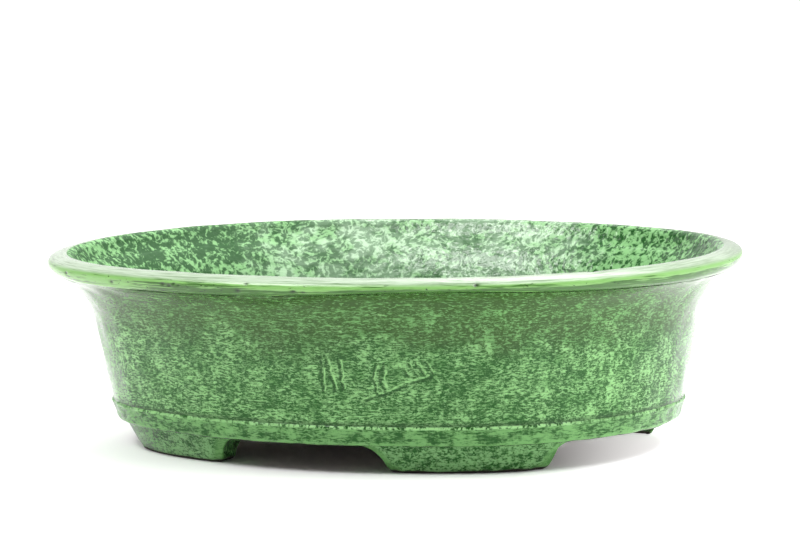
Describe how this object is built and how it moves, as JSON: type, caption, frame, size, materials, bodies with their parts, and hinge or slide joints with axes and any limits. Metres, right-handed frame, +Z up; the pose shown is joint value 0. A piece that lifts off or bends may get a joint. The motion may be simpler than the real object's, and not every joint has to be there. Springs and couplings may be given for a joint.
{
  "type": "bonsai pot",
  "caption": "Shallow oval bonsai pot of mottled green glazed pottery with a flared wall, rolled rim, base band and bracket feet.",
  "frame": {"origin": "centre of the footprint, on the plane the feet stand on", "axes": "+X along the long axis of the oval, to the right seen from the front; +Y to the back; +Z up"},
  "size_m": [0.36, 0.28, 0.098],
  "materials": {
    "green_glaze": "gloss glaze, two greens brushed and dabbed over each other",
    "floor_glaze": "gloss glaze on the inside floor, bare clay underneath"
  },
  "bodies": {
    "root": {"wall": "green_glaze", "rim": "green_glaze", "base_band": "green_glaze", "front_left_foot": "green_glaze", "front_right_foot": "green_glaze", "back_left_foot": "green_glaze", "back_right_foot": "green_glaze", "floor_slab": "floor_glaze"}
  },
  "joints": []
}
